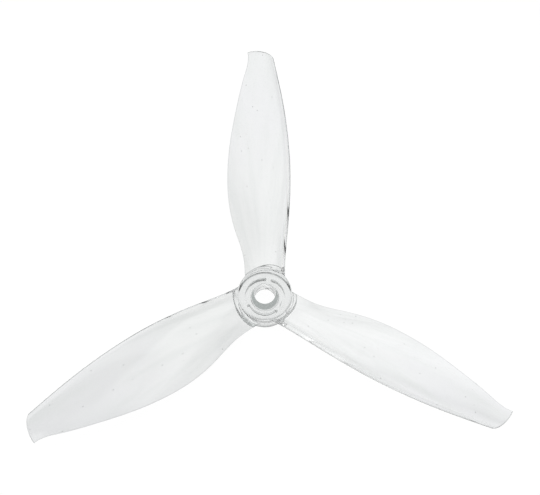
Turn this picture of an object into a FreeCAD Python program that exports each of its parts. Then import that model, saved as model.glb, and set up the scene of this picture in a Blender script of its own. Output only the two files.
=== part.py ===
"""Three-blade propeller for a five-inch racing drone, moulded in clear polycarbonate.

Millimetres, +Z up along the motor shaft towards the nut. The origin is on the shaft
axis at the level of the blade roots. The propeller turns clockwise seen from above.
The moulding is divided where its jobs change: each section is one closed solid, and
the sections meet face to face.
"""
import FreeCAD, Part
import math
import os

# Hub
HUB_R = 6.55
HUB_TOP = 2.7
HUB_BOTTOM = -3.6
HUB_TOP_ROUND = 0.3
HUB_FOOT_CHAMFER = 0.15
BORE_R = 2.5
BORE_LEAD_IN = 0.2
RECESS_R = 3.5
RECESS_CEILING = -1.85

# Three curved pockets in the underside, between the sleeve and the skirt
POCKET_IN_R = 4.1
POCKET_OUT_R = 4.85
POCKET_CEILING = -1.5
POCKET_COUNT = 3
POCKET_MIDDLE_DEG = 258.0
POCKET_SPAN_DEG = 106.0

# Blades
BLADE_COUNT = 3
FIRST_BLADE_DEG = 90.0
TRAILING_EDGE = 0.3
SECTION_STEPS = 10

# Thickened collar where each blade grows out of the hub
ROOT_R = 7.7
ROOT_EXTRA = 0.8
ROOT_STATIONS = 4

# One row per blade station: distance from the shaft, then how far the leading and the
# trailing edge stand to either side, pitch angle, height of mid-chord, thickness, camber.
STATIONS = (
    (3.0, 4.80, 4.80, 19.0, 0.35, 2.0, 0.15),
    (6.6, 4.86, 4.88, 20.5, 0.33, 2.0, 0.15),
    (8.2, 4.92, 4.98, 22.0, 0.30, 2.0, 0.20),
    (12.0, 5.20, 5.52, 26.0, 0.28, 2.0, 0.30),
    (18.0, 5.74, 7.35, 27.2, 0.47, 1.9, 0.45),
    (26.0, 6.18, 9.04, 24.6, 0.90, 1.75, 0.65),
    (34.0, 6.12, 9.31, 21.6, 1.20, 1.6, 0.70),
    (42.0, 5.51, 8.60, 19.2, 1.43, 1.4, 0.65),
    (50.0, 4.44, 7.18, 17.3, 1.55, 1.2, 0.50),
    (58.0, 2.98, 5.38, 15.2, 1.60, 1.0, 0.35),
    (62.0, 2.16, 4.40, 13.6, 1.62, 0.9, 0.25),
    (66.0, 1.30, 4.90, 11.8, 1.64, 0.8, 0.20),
)

# Blade tip seen from above: a rounded leading corner, then an edge out to a point where
# it meets the trailing edge
TIP_CORNER_START = (61.1, -2.48)
TIP_CORNER_MIDDLE = (62.98, -1.72)
TIP_CORNER_END = (63.78, -0.72)
TIP_EDGE_MIDDLE = (64.62, 1.67)
TIP_EDGE_END = (64.60, 4.9)

# Thickness of a four-digit aerofoil: factors of powers of the distance from its leading edge
AEROFOIL = ((1.4845, 0.5), (-0.63, 1), (-1.758, 2), (1.4215, 3), (-0.518, 4))

# Larger than anything it has to cut
BEYOND = 20.0

# Places nearer to each other than this are the same
TOLERANCE = 0.01


def vec(x, y, z=0.0):
    return FreeCAD.Vector(x, y, z)


def revolved(profile):
    """Turn a closed outline of (radius, height) points about the shaft axis."""
    points = [vec(r, 0, z) for r, z in profile]
    face = Part.Face(Part.makePolygon(points + points[:1]))
    return face.revolve(vec(0, 0), vec(0, 0, 1), 360)


def ring(inner_r, outer_r, bottom, top):
    return revolved([(inner_r, bottom), (outer_r, bottom), (outer_r, top), (inner_r, top)])


def turned(shape, degrees):
    copy = shape.copy()
    copy.rotate(vec(0, 0), vec(0, 0, 1), degrees)
    return copy


def hub_sleeve():
    """Sleeve round the shaft, with a lead-in above and a wider recess below."""
    return revolved([
        (BORE_R, RECESS_CEILING),
        (RECESS_R, RECESS_CEILING),
        (RECESS_R, HUB_BOTTOM),
        (POCKET_IN_R, HUB_BOTTOM),
        (POCKET_IN_R, HUB_TOP),
        (BORE_R + BORE_LEAD_IN, HUB_TOP),
        (BORE_R, HUB_TOP - BORE_LEAD_IN),
    ])


def hub_cap():
    """Plate round the top of the sleeve, which closes the pockets."""
    plate = ring(POCKET_IN_R, HUB_R, POCKET_CEILING, HUB_TOP)
    rim = [e for e in plate.Edges if is_circle_at(e, HUB_R, HUB_TOP)]
    return plate.makeFillet(HUB_TOP_ROUND, rim)


def is_circle_at(edge, radius, height):
    box = edge.BoundBox
    flat = box.ZLength < TOLERANCE and abs(box.ZMax - height) < TOLERANCE
    return flat and abs(box.XMax - radius) < TOLERANCE


def hub_skirt():
    """Outer wall below the cap. The blades grow out of it."""
    return revolved([
        (POCKET_OUT_R, HUB_BOTTOM),
        (HUB_R - HUB_FOOT_CHAMFER, HUB_BOTTOM),
        (HUB_R, HUB_BOTTOM + HUB_FOOT_CHAMFER),
        (HUB_R, POCKET_CEILING),
        (POCKET_OUT_R, POCKET_CEILING),
    ])


def pocket(middle_deg):
    """Curved slot with round ends, as tall as the skirt."""
    middle_r = (POCKET_IN_R + POCKET_OUT_R) / 2
    end_r = (POCKET_OUT_R - POCKET_IN_R) / 2
    height = POCKET_CEILING - HUB_BOTTOM
    span = POCKET_SPAN_DEG - 2 * math.degrees(end_r / middle_r)
    outer = Part.makeCylinder(POCKET_OUT_R, height, vec(0, 0, HUB_BOTTOM), vec(0, 0, 1), span)
    inner = Part.makeCylinder(POCKET_IN_R, height, vec(0, 0, HUB_BOTTOM), vec(0, 0, 1), span)
    slot = turned(outer.cut(inner), -span / 2)
    for side in (-1, 1):
        angle = math.radians(side * span / 2)
        centre = vec(middle_r * math.cos(angle), middle_r * math.sin(angle), HUB_BOTTOM)
        slot = slot.fuse(Part.makeCylinder(end_r, height, centre))
    return turned(slot, middle_deg)


def hub_ribs():
    """What is left between the pockets: one rib per pocket, joining sleeve to skirt."""
    left = ring(POCKET_IN_R, POCKET_OUT_R, HUB_BOTTOM, POCKET_CEILING)
    for number in range(POCKET_COUNT):
        left = left.cut(pocket(POCKET_MIDDLE_DEG + number * 360 / POCKET_COUNT))
    return sorted(left.Solids, key=rib_order)


def rib_order(rib):
    centre = rib.CenterOfMass
    return math.atan2(centre.y, centre.x)


def half_thickness(share, thickness):
    """Half the aerofoil's thickness from the leading edge (0) to the trailing edge (1)."""
    curve = sum(factor * share ** power for factor, power in AEROFOIL)
    return (thickness - TRAILING_EDGE / 2) * curve + TRAILING_EDGE / 2 * share


def section(x, lead, trail, pitch_deg, mid_z, thickness, camber):
    """Closed aerofoil outline at one distance from the shaft, convex side up."""
    chord = lead + trail
    slope = math.tan(math.radians(pitch_deg))
    upper = []
    lower = []
    for step in range(SECTION_STEPS + 1):
        share = (1 - math.cos(math.pi * step / SECTION_STEPS)) / 2
        y = chord * share - lead
        middle = mid_z + slope * chord * (0.5 - share) + 4 * camber * share * (1 - share)
        half = half_thickness(share, thickness)
        upper.append(vec(x, y, middle + half))
        lower.append(vec(x, y, middle - half))
    skin = Part.BSplineCurve()
    skin.interpolate(upper[::-1] + lower[1:])
    edge = Part.LineSegment(lower[-1], upper[-1])
    return Part.Wire([skin.toShape(), edge.toShape()])


def arc(start, middle, end):
    return Part.Arc(vec(*start), vec(*middle), vec(*end)).toShape()


def line(start, end):
    return Part.LineSegment(vec(*start), vec(*end)).toShape()


def planform():
    """Upright block that gives the blade its tip, seen from above."""
    path = [
        TIP_EDGE_END,
        (TIP_EDGE_END[0], BEYOND),
        (0, BEYOND),
        (0, -BEYOND),
        (TIP_CORNER_START[0], -BEYOND),
        TIP_CORNER_START,
    ]
    edges = [line(a, b) for a, b in zip(path, path[1:])]
    edges.append(arc(TIP_CORNER_START, TIP_CORNER_MIDDLE, TIP_CORNER_END))
    edges.append(arc(TIP_CORNER_END, TIP_EDGE_MIDDLE, TIP_EDGE_END))
    block = Part.Face(Part.Wire(edges)).extrude(vec(0, 0, 2 * BEYOND))
    block.translate(vec(0, 0, -BEYOND))
    return block


def shaft_cylinder(radius):
    return Part.makeCylinder(radius, 2 * BEYOND, vec(0, 0, -BEYOND))


def blade_root():
    """Collar along +X, between the hub's wall and the blade."""
    rows = [row[:5] + (row[5] + ROOT_EXTRA, row[6]) for row in STATIONS[:ROOT_STATIONS]]
    body = Part.makeLoft([section(*row) for row in rows], True, False)
    return body.common(shaft_cylinder(ROOT_R)).cut(shaft_cylinder(HUB_R))


def blade():
    """One blade along +X, from its collar to the tip, leading edge towards -Y."""
    body = Part.makeLoft([section(*row) for row in STATIONS], True, False)
    return body.common(planform()).cut(shaft_cylinder(ROOT_R))


def main():
    os.makedirs("parts", exist_ok=True)
    pieces = {"hub_sleeve": hub_sleeve(), "hub_cap": hub_cap(), "hub_skirt": hub_skirt()}
    for number, rib in enumerate(hub_ribs(), 1):
        pieces["hub_rib_%d" % number] = rib
    for name, shape in (("blade_root", blade_root()), ("blade", blade())):
        for number in range(BLADE_COUNT):
            angle = FIRST_BLADE_DEG + number * 360 / BLADE_COUNT
            pieces["%s_%d" % (name, number + 1)] = turned(shape, angle)
    for name, piece in pieces.items():
        print(name, "valid:", piece.isValid(), "solids:", len(piece.Solids), "mm3:", round(piece.Volume, 2))
        piece.exportStep("parts/%s.step" % name)


main()
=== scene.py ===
"""Looks of a clear three-blade propeller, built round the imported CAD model.

Shapes are worked out in millimetres in the CAD's own frame, +Z up along the shaft, and turned
into metres as each mesh is made. The real object is one moulding, so where two pieces meet
their touching faces carry a material that light passes straight through.
"""
import math

import bmesh
import bpy
import numpy as np
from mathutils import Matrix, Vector

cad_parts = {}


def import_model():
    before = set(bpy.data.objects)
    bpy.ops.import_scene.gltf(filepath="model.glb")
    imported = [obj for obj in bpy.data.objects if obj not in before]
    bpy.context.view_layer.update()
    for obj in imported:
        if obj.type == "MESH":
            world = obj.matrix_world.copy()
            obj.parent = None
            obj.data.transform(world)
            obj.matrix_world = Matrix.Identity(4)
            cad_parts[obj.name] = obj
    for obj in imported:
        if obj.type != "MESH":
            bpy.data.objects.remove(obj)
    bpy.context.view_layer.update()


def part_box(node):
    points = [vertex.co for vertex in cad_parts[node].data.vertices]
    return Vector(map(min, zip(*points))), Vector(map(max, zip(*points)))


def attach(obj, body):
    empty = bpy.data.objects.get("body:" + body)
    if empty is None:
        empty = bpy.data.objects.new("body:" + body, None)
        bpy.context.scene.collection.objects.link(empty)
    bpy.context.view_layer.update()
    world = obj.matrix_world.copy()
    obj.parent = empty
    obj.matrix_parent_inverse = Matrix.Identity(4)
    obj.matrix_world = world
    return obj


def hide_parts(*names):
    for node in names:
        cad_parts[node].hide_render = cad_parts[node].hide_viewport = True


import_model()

MM = 0.001
TAU = 2 * math.pi


def in_mm(metres):
    """Millimetres, without the rounding noise of the frame's metres."""
    return round(metres / MM, 4)


# Hub, as large as it is in the frame
HUB_R = in_mm(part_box("hub_cap")[1].x)
HUB_TOP = in_mm(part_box("hub_cap")[1].z)
HUB_BOTTOM = in_mm(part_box("hub_skirt")[0].z)
HUB_TOP_ROUND = 0.3
FOOT_CHAMFER = 0.15
BORE_R = 2.5
BORE_ROUND = 0.2
RECESS_R = 3.5
RECESS_CEILING = -1.85
RECESS_ROUND = 0.3

# Three curved pockets with round ends, between the sleeve and the skirt
POCKET_IN_R = in_mm(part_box("hub_sleeve")[1].x)
POCKET_OUT_R = 4.85
POCKET_MIDDLE_R = (POCKET_IN_R + POCKET_OUT_R) / 2
POCKET_END_R = (POCKET_OUT_R - POCKET_IN_R) / 2
POCKET_CEILING = in_mm(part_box("hub_cap")[0].z)
POCKET_COUNT = 3
POCKET_STEP = TAU / POCKET_COUNT
POCKET_MIDDLE = math.radians(258)
POCKET_SPAN = math.radians(106)

# Angle from the middle of a pocket to the middle of each of its round ends
POCKET_HALF = POCKET_SPAN / 2 - POCKET_END_R / POCKET_MIDDLE_R

# Blades, and the collars from which they grow
BLADE_COUNT = 3
BLADE_STEP = TAU / BLADE_COUNT
FIRST_BLADE = math.radians(90)
TRAILING_EDGE = 0.3
TIP_ROUND = 0.3
ROOT_R = 7.7
COLLAR_EXTRA = 0.3
COLLAR_ROUND = 0.4
ROOT_FILLET = 0.3

# A collar's surface stays under these heights, at the hub's wall and at the collar's end, and
# bends within about this distance of them
ROOT_HEADROOM = (2.02, 3.62)
HEADROOM_SOFTNESS = 0.1

# Darker line along the outline of the blades, the parting line drawn as a painted shade of the
# edges, and how much of it the trailing edge lacks. Strength of the same painted line on other
# stretches of the moulding.
PARTING_SHADE_WIDTH = 0.3
TRAILING_FADE = 0.75
LINE_STRENGTH = {"line": 1.0, "rim": 0.2}

# One row per blade station: distance from the shaft, then how far the leading and the
# trailing edge stand to either side, pitch angle, height of mid-chord, thickness, camber.
STATIONS = np.array((
    (3.0, 4.80, 4.80, 19.0, 0.35, 2.0, 0.15),
    (6.6, 4.86, 4.88, 20.5, 0.33, 2.0, 0.15),
    (8.2, 4.92, 4.98, 22.0, 0.30, 2.0, 0.20),
    (12.0, 5.20, 5.52, 26.0, 0.28, 2.0, 0.30),
    (18.0, 5.74, 7.35, 27.2, 0.47, 1.9, 0.45),
    (26.0, 6.18, 9.04, 24.6, 0.90, 1.75, 0.65),
    (34.0, 6.12, 9.31, 21.6, 1.20, 1.6, 0.70),
    (42.0, 5.51, 8.60, 19.2, 1.43, 1.4, 0.65),
    (50.0, 4.44, 7.18, 17.3, 1.55, 1.2, 0.50),
    (58.0, 2.98, 5.38, 15.2, 1.60, 1.0, 0.35),
    (62.0, 2.16, 4.40, 13.6, 1.62, 0.9, 0.25),
    (66.0, 1.30, 4.90, 11.8, 1.64, 0.8, 0.20),
))

# Thickness of a four-digit aerofoil: factors of powers of the distance from its leading edge
AEROFOIL = ((1.4845, 0.5), (-0.63, 1), (-1.758, 2), (1.4215, 3), (-0.518, 4))

# Blade tip seen from above: each arc by its start, a point on it, and its end
TIP_CORNER = ((61.1, -2.48), (62.98, -1.72), (63.78, -0.72))
TIP_EDGE = ((63.78, -0.72), (64.62, 1.67), (64.60, 4.9))

# Mesh density. The hub's wall has its steps below, beside and above a blade's foot.
CHORD_STEPS = 64
SPAN_STEPS = 150
TIP_STEPS = 10
ROUND_STEPS = 8
HUB_STEPS = 60
WALL_STEPS = (8, 3, 4)
COLLAR_STEPS = 3

# Distances along a blade between which its tip is looked for, and the steps of a search
TIP_SEARCH = (55.0, 66.0)
SEARCH_STEPS = 40

# Points and angles nearer than these are the same, in metres and radians, and edges shorter
# than NO_LENGTH go. Faces that meet at more than the crease angle have a sharp edge.
SAME_POINT = 2e-7
SAME_ANGLE = 1e-5
NO_LENGTH = 1e-7
CREASE_ANGLE = math.radians(35)

# Materials of a piece, in the order of its slots
CLEAR, JOINT, SHADED_SEAT = 0, 1, 2

# Tints of the clear plastic and of the matte seat: near the hub, towards the tips, in a streak
CLEAR_TINTS = ((0.846, 0.858, 0.852), (0.828, 0.836, 0.846), (0.79, 0.808, 0.803))
# The seat's dark tints are a painted shade inside the recess under the bore, on a matte finish
SEAT_SHADE_TINTS = ((0.2, 0.225, 0.218), (0.2, 0.225, 0.218), (0.23, 0.255, 0.248))
# Painted shade where the plastic is seen edge-on
EDGE_SHADE_TINT = (0.12, 0.13, 0.13)
# Colour of dust specks, and of the painted shade along the outline
LINE_TINT = (0.3, 0.31, 0.31)
IOR = 1.585
CLEAR_ROUGHNESS = 0.03
SEAT_ROUGHNESS = 0.3

# The first tint turns into the second between these distances from the shaft, in metres, and
# in clouds. The distance has this share in it, and the clouds have the rest.
OUTBOARD = (0.018, 0.05)
OUTBOARD_SHARE = 0.7

# How far a surface faces away where the painted edge shade begins and where it is full
EDGE_SHADE_FACING = (0.62, 0.92)

# Patterns: features in each unit, detail, and the values between which the pattern rises. The
# unit is a metre, but for streaks it is a radian round the shaft, and a metre outwards counts
# as FLOW_LENGTH of them.
CLOUDS = (70, 3, 0.35, 0.65)
STREAKS = (16, 4, 0.4, 0.7)
STREAK_SHARE = 0.7
FLOW_LENGTH = 3.5
SCRATCHES = (500, 2)
SCRATCH_STRETCH = (1, 14, 1)
WAVES = (220, 2)
WAVE_HEIGHT = 4e-6
SCRATCH_HEIGHT = 0.1

# Dust specks: cells of their grid in a metre, share of cells with a speck, and how far from
# a cell's middle a speck ends and where it is full
SPECK_CELLS = 520
SPECK_SHARE = 0.4
SPECK_SIZE = (0.09, 0.05)

# Floor, in metres, how far it lies under the hub, its glow, and the light that it reflects
FLOOR_R = 3.0
FLOOR_GAP = 0.0001
FLOOR_SIDES = 64
FLOOR_GLOW = 0.98
FLOOR_TINT = (0.1, 0.1, 0.1, 1)

# Dim room and its soft lights, each by its direction, the angles from it in degrees where it
# ends and where it is full, and brightness
SKY_BASE = 0.03
SKY_LIGHTS = (
    ((-0.56, 0.40, 0.72), 34, 10, 1.28),
    ((0.31, 0.84, 0.45), 29, 11, 1.45),
    ((0.50, -0.38, 0.78), 18, 11, 1.0),
    ((0.0, 0.36, 0.93), 20, 9, 0.5),
    ((0.45, 0.88, 0.08), 25, 10, 0.5),
)

# Camera: lens and sensor in millimetres, metres from its target, how far it leans from
# straight down, and the nearest thing that it shows
LENS = 116.1
SENSOR_WIDTH = 36
CAMERA_DISTANCE = 0.42335
CAMERA_LEAN = math.radians(19.76)
CAMERA_TARGET = (0.00124, 0.01266)
CLIP_START = 0.01

# Times that light may cross a surface: clear ones bend it, and joints let it straight through
BEND_LIMIT = 48
THROUGH_LIMIT = 64


# ---------------------------------------------------------------- blade surface

def spline_terms(x):
    """Terms whose sum is a cubic spline with its joints at the inner stations."""
    share = np.asarray(x)[..., None] / STATIONS[-1, 0]
    joints = STATIONS[2:-2, 0] / STATIONS[-1, 0]
    return np.concatenate((share ** np.arange(4), np.clip(share - joints, 0, None) ** 3), -1)


def station(x):
    """Lead, trail, slope, height, thickness and camber at distances x along a blade."""
    factors = np.linalg.solve(spline_terms(STATIONS[:, 0]), STATIONS[:, 1:])
    lead, trail, pitch, height, thickness, camber = np.moveaxis(spline_terms(x) @ factors, -1, 0)
    return lead, trail, np.tan(np.radians(pitch)), height, thickness, camber


def rounding(distance, radius):
    """Share of the full thickness left, at this distance from an edge of that radius."""
    inside = np.clip(1 - distance / radius, 0, 1)
    return np.sqrt(1 - inside * inside)


def section(x, share, extra=0.0, flare=0.0):
    """y, upper z and lower z at a share of the chord, 0 at the leading edge."""
    lead, trail, slope, height, thickness, camber = station(x)
    lead, trail, thickness = lead + flare, trail + flare, thickness + 2 * extra
    chord = lead + trail
    y = chord * share - lead
    middle = height + slope * (chord * (0.5 - share)) + 4 * camber * share * (1 - share)
    curve = sum(factor * share ** power for factor, power in AEROFOIL)
    edge = TRAILING_EDGE / 2 + flare
    half = (thickness - TRAILING_EDGE / 2) * curve + edge * share
    half = half * rounding(chord * (1 - share), edge)
    return y, middle + half, middle - half


def chord_line(x, share):
    """Place across the blade of a share of the chord."""
    lead, trail = station(x)[:2]
    return (lead + trail) * share - lead


def circle(points):
    """Centre and radius of the circle through three points."""
    (ax, ay), (bx, by), (cx, cy) = points
    d = 2 * (ax * (by - cy) + bx * (cy - ay) + cx * (ay - by))
    a, b, c = ax * ax + ay * ay, bx * bx + by * by, cx * cx + cy * cy
    x = (a * (by - cy) + b * (cy - ay) + c * (ay - by)) / d
    y = (a * (cx - bx) + b * (ax - cx) + c * (bx - ax)) / d
    return x, y, math.hypot(ax - x, ay - y)


def tip_x(y):
    """How far out the blade reaches at a place across it."""
    reach = np.full_like(y, np.inf)
    for points in (TIP_CORNER, TIP_EDGE):
        x0, y0, radius = circle(points)
        here = (y >= points[0][1]) & (y <= points[2][1])
        rise = np.sqrt(np.clip(radius ** 2 - (y - y0) ** 2, 0, None))
        reach = np.where(here, x0 + rise, reach)
    return reach


def blade_reach(share):
    """Distance along the blade at which each share of the chord meets the tip."""
    low, high = (np.full_like(share, x) for x in TIP_SEARCH)
    for _ in range(SEARCH_STEPS):
        middle = (low + high) / 2
        beyond = middle > tip_x(chord_line(middle, share))
        low, high = np.where(beyond, low, middle), np.where(beyond, middle, high)
    return low


def on_cylinder(radius, share, flare=0.0):
    """Distance along the blade at which each share of the chord crosses a cylinder."""
    x = np.full_like(share, radius)
    for _ in range(SEARCH_STEPS):
        lead, trail = station(x)[:2]
        y = (lead + trail + 2 * flare) * share - lead - flare
        x = np.sqrt(radius ** 2 - y ** 2)
    return x


def chord_shares():
    """Shares of the chord, close together at both edges."""
    return (1 - np.cos(np.linspace(0, math.pi, CHORD_STEPS + 1))) / 2


def near_edge(distance):
    """1 on the outline, falling to 0 where the darker line ends."""
    return np.clip(1 - distance / PARTING_SHADE_WIDTH, 0, 1)


def blade_rows():
    """Upper and lower points of a blade along +X, one row per distance, and how near each
    is to the outline."""
    shares = chord_shares()
    start, end = on_cylinder(ROOT_R, shares), blade_reach(shares)
    inner = np.linspace(0, 1, SPAN_STEPS + 1)[:, None] * (end - TIP_ROUND - start) + start
    bend = np.sin(np.linspace(0, math.pi / 2, TIP_STEPS + 1))[1:, None]
    x = np.vstack((inner, end - TIP_ROUND + bend * TIP_ROUND))
    share = np.broadcast_to(shares, x.shape)
    y, upper, lower = section(x, share)
    left = rounding(end - x, TIP_ROUND)
    middle, half = (upper + lower) / 2, (upper - lower) / 2 * left
    inset = np.minimum(share, 1 - share) * sum(station(x)[:2])
    parting_shade = near_edge(np.minimum(inset, end - x)) * (1 - TRAILING_FADE * share)
    upper, lower = (np.stack((x, y, z), -1) for z in (middle + half, middle - half))
    for side in (upper, lower):
        # each corner of the tip is one triangle, so that the two sides share no face
        side[-1, [0, -1]] = side[-1, [1, -2]]
    return upper, lower, parting_shade


def below(z, limit):
    """z bent smoothly under a limit."""
    return z - HEADROOM_SOFTNESS * np.logaddexp(0, (z - limit) / HEADROOM_SOFTNESS)


def root_radii():
    """Radii of the rows of a root collar: close together in its fillet and its rounding."""
    turn = np.linspace(0, math.pi / 2, ROUND_STEPS + 1)
    fillet = HUB_R + ROOT_FILLET * (1 - np.cos(turn))
    nose = ROOT_R - COLLAR_ROUND + COLLAR_ROUND * np.sin(turn)
    between = np.linspace(fillet[-1], nose[0], COLLAR_STEPS + 1)[1:-1]
    return np.concatenate((fillet, between, nose))


def root_rows():
    """Upper and lower points of a root collar along +X, one row per radius, and how near each
    is to the outline."""
    shares = chord_shares()
    upper_rows, lower_rows, parting_shade = [], [], []
    for radius in root_radii():
        from_wall = min((radius - HUB_R) / ROOT_FILLET, 1)
        flare = ROOT_FILLET * (1 - math.sqrt(1 - (1 - from_wall) ** 2))
        extra = flare + COLLAR_EXTRA * float(rounding(ROOT_R - radius, COLLAR_ROUND))
        x = on_cylinder(radius, shares, flare)
        y, upper, lower = section(x, shares, extra, flare)
        limit = np.interp(radius, (HUB_R, ROOT_R), ROOT_HEADROOM)
        upper_rows.append(np.stack((x, y, below(upper, limit)), -1))
        lower_rows.append(np.stack((x, y, below(lower, limit)), -1))
        inset = np.minimum(y - y[0], y[-1] - y)
        parting_shade.append(near_edge(np.minimum(inset, ROOT_R - radius)))
    return np.array(upper_rows), np.array(lower_rows), np.array(parting_shade)


# ---------------------------------------------------------------- meshes

class Solid:
    """Faces of one closed piece, and its points in millimetres, each with the strength that the
    darker line of painted shade has there."""

    def __init__(self):
        self.points = []
        self.parting_shade = []
        self.faces = []

    def grid(self, rows, material=CLEAR, parting_shade=None):
        """Faces over rows of points. material is one number or a rule of (row, column)."""
        rows = np.asarray(rows)
        height, width = rows.shape[:2]
        first = len(self.points)
        self.points.extend(map(tuple, rows.reshape(-1, 3)))
        self.parting_shade.extend(np.zeros(height * width) if parting_shade is None else parting_shade.flat)
        for i in range(height - 1):
            for j in range(width - 1):
                a = first + i * width + j
                slot = material(i, j) if callable(material) else material
                self.faces.append(((a, a + 1, a + width + 1, a + width), slot))

    def cap(self, outline, material):
        """One flat face inside an outline."""
        first = len(self.points)
        self.points.extend(outline)
        self.parting_shade.extend([0.0] * len(outline))
        self.faces.append((range(first, first + len(outline)), material))

    def turned(self, angle):
        """Blender mesh of its points and faces in metres, turned about the shaft axis."""
        bm = bmesh.new()
        line = bm.verts.layers.float.new("parting_shade")
        x, y, z = np.array(self.points).T * MM
        cos, sin = math.cos(angle), math.sin(angle)
        places = zip(x * cos - y * sin, x * sin + y * cos, z)
        verts = [bm.verts.new(place) for place in places]
        for vert, value in zip(verts, self.parting_shade):
            vert[line] = value
        for corners, slot in self.faces:
            face = bm.faces.new([verts[i] for i in corners])
            face.material_index = slot
            face.smooth = True
        return bm

    def build(self, name, angle=0.0):
        """Blender object of this solid, turned about the shaft axis."""
        bm = self.turned(angle)
        bmesh.ops.remove_doubles(bm, verts=bm.verts, dist=SAME_POINT)
        bmesh.ops.dissolve_degenerate(bm, edges=bm.edges, dist=NO_LENGTH)
        bmesh.ops.recalc_face_normals(bm, faces=bm.faces)
        for edge in bm.edges:
            edge.smooth = not is_crease(edge)
        mesh = bpy.data.meshes.new(name)
        bm.to_mesh(mesh)
        bm.free()
        piece = bpy.data.objects.new(name, mesh)
        bpy.context.scene.collection.objects.link(piece)
        return piece


def is_crease(edge):
    """True where the surface turns sharply or the material changes."""
    one, other = edge.link_faces
    return one.material_index != other.material_index or edge.calc_face_angle() > CREASE_ANGLE


def pillow(rows, ends):
    """Solid between upper and lower rows that share their edges. ends are rows to close."""
    upper, lower, parting_shade = rows
    solid = Solid()
    solid.grid(upper, parting_shade=parting_shade)
    solid.grid(lower, parting_shade=parting_shade)
    for row in ends:
        solid.grid((upper[row], lower[row]), JOINT)
    return solid


def polar(radius, angle, z):
    """Point at a radius, angle and height."""
    return radius * math.cos(angle), radius * math.sin(angle), z


# ---------------------------------------------------------------- hub

def from_pocket(angle):
    """Angle from the middle of the nearest pocket, whichever side."""
    return abs((angle - POCKET_MIDDLE + POCKET_STEP / 2) % POCKET_STEP - POCKET_STEP / 2)


def pocket_gap(angle):
    """Inner and outer radius of the nearest pocket at this angle, equal where it is solid."""
    past = max(from_pocket(angle) - POCKET_HALF, 0) * POCKET_MIDDLE_R
    width = math.sqrt(max(POCKET_END_R ** 2 - past ** 2, 0))
    return POCKET_MIDDLE_R - width, POCKET_MIDDLE_R + width


def footprint():
    """Angle, upper and lower height at which a root collar meets the hub's wall."""
    upper, lower = (side[0] for side in root_rows()[:2])
    return np.arctan2(upper[:, 1], upper[:, 0]), upper[:, 2], lower[:, 2]


def blade_gap(angle, foot):
    """Upper and lower height of the collar's footprint at this angle, equal between blades."""
    angles, upper, lower = foot
    local = (angle - FIRST_BLADE + BLADE_STEP / 2) % BLADE_STEP - BLADE_STEP / 2
    if angles[0] <= local <= angles[-1]:
        return np.interp(local, angles, upper), np.interp(local, angles, lower)
    to_next = (local - angles[-1]) % BLADE_STEP / (BLADE_STEP - angles[-1] + angles[0])
    level = lower[-1] + (upper[0] - lower[-1]) * to_next
    return level, level


def hub_angles(foot):
    """Angles of the hub's columns: along every footprint and round every pocket's ends."""
    angles = set(np.linspace(0, TAU, HUB_STEPS, endpoint=False))
    for number in range(BLADE_COUNT):
        angles.update(FIRST_BLADE + number * BLADE_STEP + foot[0])
    for number in range(POCKET_COUNT):
        for turn in np.linspace(0, math.pi / 2, ROUND_STEPS + 1):
            past = POCKET_HALF + POCKET_END_R / POCKET_MIDDLE_R * math.sin(turn)
            middle = POCKET_MIDDLE + number * POCKET_STEP
            angles.update((middle - past, middle + past))
    ordered = sorted(a % TAU for a in angles)
    kept = [a for a, b in zip(ordered, ordered[1:] + [TAU]) if b - a > SAME_ANGLE]
    return kept + [kept[0] + TAU]


def spread(start, end, steps):
    """Evenly spaced values from start to end, both included."""
    return [start + (end - start) * i / steps for i in range(steps + 1)]


def quarter(r, z, radius, start_deg):
    """Points of a quarter circle round (r, z), anticlockwise from an angle."""
    angles = [math.radians(start_deg + 90 * i / ROUND_STEPS) for i in range(ROUND_STEPS + 1)]
    return [(r + radius * math.cos(a), z + radius * math.sin(a)) for a in angles]


def in_rib(angle):
    """True where a rib stands against the walls on both sides of the pockets."""
    return from_pocket(angle) >= POCKET_HALF


def swept(angles, profile):
    """Closed solid from a profile of (radius, height, name of the stretch that follows)."""
    columns = [list(profile(a)) for a in angles]
    for column in columns:
        column.append(column[0])
    names = [name for _, _, name in columns[0]]
    rows = [[polar(r, a, z) for a, (r, z, _) in zip(angles, row)] for row in zip(*columns)]

    def rule(i, j):
        if names[i] == "rib":
            return JOINT if in_rib((angles[j] + angles[j + 1]) / 2) else CLEAR
        return {"joint": JOINT, "seat": SHADED_SEAT}.get(names[i], CLEAR)

    solid = Solid()
    strengths = [LINE_STRENGTH.get(name, 0.0) for name in names]
    solid.grid(rows, rule, np.repeat(strengths, len(angles)))
    return solid


def stretch(points, name):
    """Points of a profile, each with the name of the stretch that follows it: clear, joint,
    seat (tinted dark, a painted shade of the recess), rib (a joint only where a rib stands),
    or line and rim (clear, with a darker line of painted shade)."""
    return [(r, z, name) for r, z in points]


def wall(low, high, steps):
    """Points up the hub's wall, without the last."""
    return [(HUB_R, z) for z in spread(low, high, steps)[:-1]]


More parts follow.
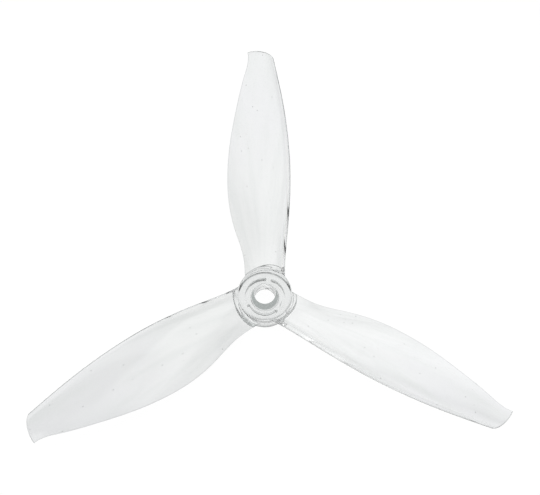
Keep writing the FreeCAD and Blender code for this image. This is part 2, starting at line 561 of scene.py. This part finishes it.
def shell_profile(foot):
    """Profile of the hub's top and outer wall at an angle, without sleeve and ribs."""
    shoulder = HUB_TOP - HUB_TOP_ROUND
    foot_edge = HUB_BOTTOM + FOOT_CHAMFER
    below_blade, beside_blade, above_blade = WALL_STEPS

    def profile(angle):
        upper, lower = blade_gap(angle, foot)
        inner, outer = pocket_gap(angle)
        return (
            # the line and rim stretches carry the painted shade line
            stretch([(HUB_R, foot_edge)], "line")
            + stretch(wall(foot_edge + FOOT_CHAMFER, lower, below_blade), "clear")
            + stretch(wall(lower, upper, beside_blade), "joint")
            + stretch(wall(upper, shoulder, above_blade), "clear")
            + stretch(quarter(HUB_R - HUB_TOP_ROUND, shoulder, HUB_TOP_ROUND, 0), "rim")
            + stretch([(HUB_R - 2 * HUB_TOP_ROUND, HUB_TOP)], "clear")
            + stretch([(POCKET_IN_R, HUB_TOP), (POCKET_IN_R, POCKET_CEILING)], "joint")
            + stretch([(inner, POCKET_CEILING)], "clear")
            + stretch([(outer, POCKET_CEILING)], "joint")
            + stretch([(POCKET_OUT_R, POCKET_CEILING)], "rib")
            + stretch([(POCKET_OUT_R, HUB_BOTTOM)], "clear")
            + stretch([(HUB_R - 2 * FOOT_CHAMFER, HUB_BOTTOM)], "clear")
            + stretch([(HUB_R - FOOT_CHAMFER, HUB_BOTTOM)], "line")
        )

    return profile


def sleeve_profile(angle):
    """Profile of the sleeve round the shaft, the same at every angle."""
    corner = quarter(RECESS_R - RECESS_ROUND, RECESS_CEILING - RECESS_ROUND, RECESS_ROUND, 0)
    return (
        stretch([(POCKET_IN_R, HUB_BOTTOM)], "rib")
        + stretch([(POCKET_IN_R, POCKET_CEILING)], "joint")
        + stretch([(POCKET_IN_R, HUB_TOP)], "clear")
        + stretch(quarter(BORE_R + BORE_ROUND, HUB_TOP - BORE_ROUND, BORE_ROUND, 90), "clear")
        # the recess ceiling takes the seat material, tinted dark as a painted shade of the recess
        + stretch([(BORE_R, RECESS_CEILING)], "seat")
        + stretch(corner[::-1], "clear")
        + stretch([(RECESS_R, HUB_BOTTOM)], "clear")
    )


def rib_outline():
    """Outline of a rib about its own middle: radius, angle, and material of the wall after
    each point. Its two sides are the round ends of the pockets beside it."""
    reach = POCKET_STEP / 2 - POCKET_HALF
    outline = []
    for side in (1, -1):
        wall_r = POCKET_MIDDLE_R + side * POCKET_END_R
        across = spread(-side * reach, side * reach, ROUND_STEPS)[:-1]
        outline += [(wall_r, angle, JOINT) for angle in across]
        for turn in spread(0, math.pi, 2 * ROUND_STEPS)[:-1]:
            radius = POCKET_MIDDLE_R + side * POCKET_END_R * math.cos(turn)
            dent = POCKET_END_R / POCKET_MIDDLE_R * math.sin(turn)
            outline.append((radius, side * (reach - dent), CLEAR))
    return outline


def rib(number):
    """Rib between two pockets, joined to the cap above it."""
    middle = POCKET_MIDDLE + (number + 0.5) * POCKET_STEP
    outline = rib_outline()
    foot, top = ([polar(r, middle + a, z) for r, a, _ in outline]
                 for z in (HUB_BOTTOM, POCKET_CEILING))
    solid = Solid()
    solid.grid((foot + foot[:1], top + top[:1]), lambda i, j: outline[j][2])
    solid.cap(foot, CLEAR)
    solid.cap(top, JOINT)
    return solid


# ---------------------------------------------------------------- materials

def new_material(name):
    """Material with no nodes yet, and its node tree."""
    material = bpy.data.materials.new(name)
    material.use_nodes = True
    material.node_tree.nodes.clear()
    return material, material.node_tree


def feed(tree, socket, value):
    """Give an input a plain value, or link another node's output to it."""
    if isinstance(value, bpy.types.NodeSocket):
        tree.links.new(value, socket)
    else:
        socket.default_value = value


def math_node(tree, operation, *values):
    """Output of a Math node whose inputs are numbers or sockets."""
    node = tree.nodes.new("ShaderNodeMath")
    node.operation = operation
    for socket, value in zip(node.inputs, values):
        feed(tree, socket, value)
    return node.outputs[0]


def vector_node(tree, operation, *values):
    """Vector Math node whose inputs are vectors or sockets."""
    node = tree.nodes.new("ShaderNodeVectorMath")
    node.operation = operation
    for socket, value in zip(node.inputs, values):
        feed(tree, socket, value)
    return node


def soft_step(tree, value, low, high):
    """Smooth rise from 0 at low to 1 at high."""
    node = tree.nodes.new("ShaderNodeMapRange")
    node.interpolation_type = "SMOOTHSTEP"
    node.inputs["From Min"].default_value = low
    node.inputs["From Max"].default_value = high
    tree.links.new(value, node.inputs["Value"])
    return node.outputs["Result"]


def joint_material():
    """Touching faces of two pieces of one moulding: light passes straight through."""
    material, tree = new_material("joint")
    out = tree.nodes.new("ShaderNodeOutputMaterial")
    through = tree.nodes.new("ShaderNodeBsdfTransparent")
    tree.links.new(through.outputs[0], out.inputs["Surface"])
    return material


def noise(tree, place, scale, detail, stretch_by=(1, 1, 1)):
    """Cloudy pattern from 0 to 1. scale counts the features in one unit of place."""
    mapping = tree.nodes.new("ShaderNodeMapping")
    mapping.inputs["Scale"].default_value = stretch_by
    tree.links.new(place, mapping.inputs["Vector"])
    node = tree.nodes.new("ShaderNodeTexNoise")
    node.inputs["Scale"].default_value = scale
    node.inputs["Detail"].default_value = detail
    tree.links.new(mapping.outputs[0], node.inputs["Vector"])
    return node.outputs["Fac"]


def mixed(tree, share, first, second):
    """Colour between two colours, each a socket or a plain colour."""
    node = tree.nodes.new("ShaderNodeMix")
    node.data_type = "RGBA"
    tree.links.new(share, node.inputs[0])
    # the inputs and outputs for colours come after those for numbers and vectors
    for socket, value in zip(node.inputs[6:8], (first, second)):
        feed(tree, socket, value if isinstance(value, bpy.types.NodeSocket) else (*value, 1))
    return node.outputs[2]


def from_shaft(tree, place):
    """Distance from the shaft axis, and coordinates whose features run outwards from it, as
    the plastic flowed in the mould."""
    flat = vector_node(tree, "MULTIPLY", place, (1, 1, 0)).outputs[0]
    distance = vector_node(tree, "LENGTH", flat).outputs["Value"]
    outwards = vector_node(tree, "MULTIPLY", distance, (0, 0, FLOW_LENGTH)).outputs[0]
    direction = vector_node(tree, "NORMALIZE", flat).outputs[0]
    return distance, vector_node(tree, "ADD", direction, outwards).outputs[0]


def specks(tree, place):
    """1 inside small specks of dust, which only some cells of a grid hold."""
    cells = tree.nodes.new("ShaderNodeTexVoronoi")
    cells.inputs["Scale"].default_value = SPECK_CELLS
    tree.links.new(place, cells.inputs["Vector"])
    chosen = math_node(tree, "GREATER_THAN", cells.outputs["Color"], 1 - SPECK_SHARE)
    size = soft_step(tree, cells.outputs["Distance"], *SPECK_SIZE)
    return math_node(tree, "MULTIPLY", chosen, size)


def edge_on_shade(tree):
    """Rise from 0 to 1 where the surface is seen edge-on: the mask of a painted edge shade."""
    facing = tree.nodes.new("ShaderNodeLayerWeight")
    facing.inputs["Blend"].default_value = 0.5
    return soft_step(tree, facing.outputs["Facing"], *EDGE_SHADE_FACING)


def plastic_colour(tree, place, tints):
    """Two tints in soft clouds, streaks and dust specks, with a painted shade where the plastic is
    seen edge-on and along the darker line of the outline."""
    near, far, streaked = tints
    distance, flow = from_shaft(tree, place)
    outboard = soft_step(tree, distance, *OUTBOARD)
    scale, detail, low, high = CLOUDS
    clouds = soft_step(tree, noise(tree, place, scale, detail), low, high)
    cloud_share = math_node(tree, "MULTIPLY", clouds, 1 - OUTBOARD_SHARE)
    share = math_node(tree, "MULTIPLY_ADD", outboard, OUTBOARD_SHARE, cloud_share)
    colour = mixed(tree, share, near, far)
    scale, detail, low, high = STREAKS
    streaks = soft_step(tree, noise(tree, flow, scale, detail), low, high)
    colour = mixed(tree, math_node(tree, "MULTIPLY", streaks, STREAK_SHARE), colour, streaked)
    colour = mixed(tree, specks(tree, place), colour, LINE_TINT)
    # painted shade where the surface is seen edge-on
    colour = mixed(tree, edge_on_shade(tree), colour, EDGE_SHADE_TINT)
    # painted shade along the outline, by the strength kept on each point
    line = tree.nodes.new("ShaderNodeAttribute")
    line.attribute_name = "parting_shade"
    return mixed(tree, line.outputs["Fac"], colour, LINE_TINT)


def plastic(name, tints, roughness):
    """Clear moulded plastic, with an uneven gloss of faint waves and hair scratches."""
    material, tree = new_material(name)
    out = tree.nodes.new("ShaderNodeOutputMaterial")
    shader = tree.nodes.new("ShaderNodeBsdfPrincipled")
    shader.inputs["Transmission Weight"].default_value = 1
    shader.inputs["IOR"].default_value = IOR
    place = tree.nodes.new("ShaderNodeTexCoord").outputs["Object"]
    tree.links.new(plastic_colour(tree, place, tints), shader.inputs["Base Color"])

    scratches = noise(tree, place, *SCRATCHES, SCRATCH_STRETCH)
    gloss = math_node(tree, "MULTIPLY_ADD", scratches, roughness, roughness / 2)
    tree.links.new(gloss, shader.inputs["Roughness"])
    waves = noise(tree, place, *WAVES)
    height = math_node(tree, "MULTIPLY_ADD", scratches, SCRATCH_HEIGHT, waves)
    bump = tree.nodes.new("ShaderNodeBump")
    bump.inputs["Distance"].default_value = WAVE_HEIGHT
    tree.links.new(height, bump.inputs["Height"])
    tree.links.new(bump.outputs[0], shader.inputs["Normal"])
    tree.links.new(shader.outputs[0], out.inputs["Surface"])
    return material


# ---------------------------------------------------------------- scene

def floor():
    """Plain white floor, just under the hub's foot."""
    bm = bmesh.new()
    bmesh.ops.create_circle(bm, cap_ends=True, segments=FLOOR_SIDES, radius=FLOOR_R)
    mesh = bpy.data.meshes.new("floor")
    bm.to_mesh(mesh)
    bm.free()
    obj = bpy.data.objects.new("floor", mesh)
    obj.location.z = HUB_BOTTOM * MM - FLOOR_GAP
    bpy.context.scene.collection.objects.link(obj)
    material, tree = new_material("floor")
    out = tree.nodes.new("ShaderNodeOutputMaterial")
    add = tree.nodes.new("ShaderNodeAddShader")
    matt = tree.nodes.new("ShaderNodeBsdfDiffuse")
    matt.inputs["Color"].default_value = FLOOR_TINT
    glow = tree.nodes.new("ShaderNodeEmission")
    glow.inputs["Strength"].default_value = FLOOR_GLOW
    tree.links.new(matt.outputs[0], add.inputs[0])
    tree.links.new(glow.outputs[0], add.inputs[1])
    tree.links.new(add.outputs[0], out.inputs["Surface"])
    mesh.materials.append(material)


def world():
    """Dim studio with large soft lights."""
    sky = bpy.data.worlds.new("studio")
    sky.use_nodes = True
    tree = sky.node_tree
    ray = tree.nodes.new("ShaderNodeTexCoord").outputs["Generated"]
    total = SKY_BASE
    for direction, ends_at, full_at, brightness in SKY_LIGHTS:
        towards = Vector(direction).normalized()
        dot = vector_node(tree, "DOT_PRODUCT", ray, towards).outputs["Value"]
        low, high = (math.cos(math.radians(angle)) for angle in (ends_at, full_at))
        total = math_node(tree, "MULTIPLY_ADD", soft_step(tree, dot, low, high), brightness, total)
    tree.links.new(total, tree.nodes["Background"].inputs["Color"])
    bpy.context.scene.world = sky


def camera():
    """Camera in front of the object and high above it."""
    lens = bpy.data.cameras.new("camera")
    lens.sensor_width = SENSOR_WIDTH
    lens.lens = LENS
    lens.clip_start = CLIP_START
    obj = bpy.data.objects.new("camera", lens)
    x, y = CAMERA_TARGET
    obj.location = (x, y - CAMERA_DISTANCE * math.sin(CAMERA_LEAN),
                    CAMERA_DISTANCE * math.cos(CAMERA_LEAN))
    obj.rotation_euler = (CAMERA_LEAN, 0, 0)
    bpy.context.scene.collection.objects.link(obj)
    bpy.context.scene.camera = obj


def light_limits():
    """Plain colours, and enough bounces for light to cross the whole moulding."""
    bpy.context.scene.view_settings.view_transform = "Standard"
    cycles = bpy.context.scene.cycles
    cycles.transparent_max_bounces = THROUGH_LIMIT
    cycles.max_bounces = BEND_LIMIT
    cycles.transmission_bounces = BEND_LIMIT
    cycles.glossy_bounces = BEND_LIMIT


def finish_piece(piece, nodes, materials):
    """Give a piece its materials, and let it stand for its CAD nodes."""
    for material in materials:
        piece.data.materials.append(material)
    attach(piece, "root")
    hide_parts(*nodes)


def hub(materials):
    """Shell, sleeve and ribs."""
    foot = footprint()
    angles = hub_angles(foot)
    shell = swept(angles, shell_profile(foot)).build("hub_shell")
    finish_piece(shell, ["hub_cap", "hub_skirt"], materials)
    finish_piece(swept(angles, sleeve_profile).build("sleeve"), ["hub_sleeve"], materials)
    for number in range(POCKET_COUNT):
        piece = rib(number).build("rib_%d" % (number + 1))
        finish_piece(piece, ["hub_rib_%d" % (number + 1)], materials)


def blades(materials):
    """Blades and the collars from which they grow."""
    collar = ("root_collar", "blade_root", pillow(root_rows(), (0, -1)))
    blade = ("clear_blade", "blade", pillow(blade_rows(), (0,)))
    for number in range(BLADE_COUNT):
        turn = FIRST_BLADE + number * BLADE_STEP
        for name, node, solid in (collar, blade):
            piece = solid.build("%s_%d" % (name, number + 1), turn)
            finish_piece(piece, ["%s_%d" % (node, number + 1)], materials)


def main():
    clear = plastic("clear_plastic", CLEAR_TINTS, CLEAR_ROUGHNESS)
    # dark tints on the seat: painted shade of the recess, on a matte finish
    seat = plastic("matte_seat_painted_shade", SEAT_SHADE_TINTS, SEAT_ROUGHNESS)
    materials = (clear, joint_material(), seat)
    hub(materials)
    blades(materials)
    floor()
    world()
    camera()
    light_limits()


main()
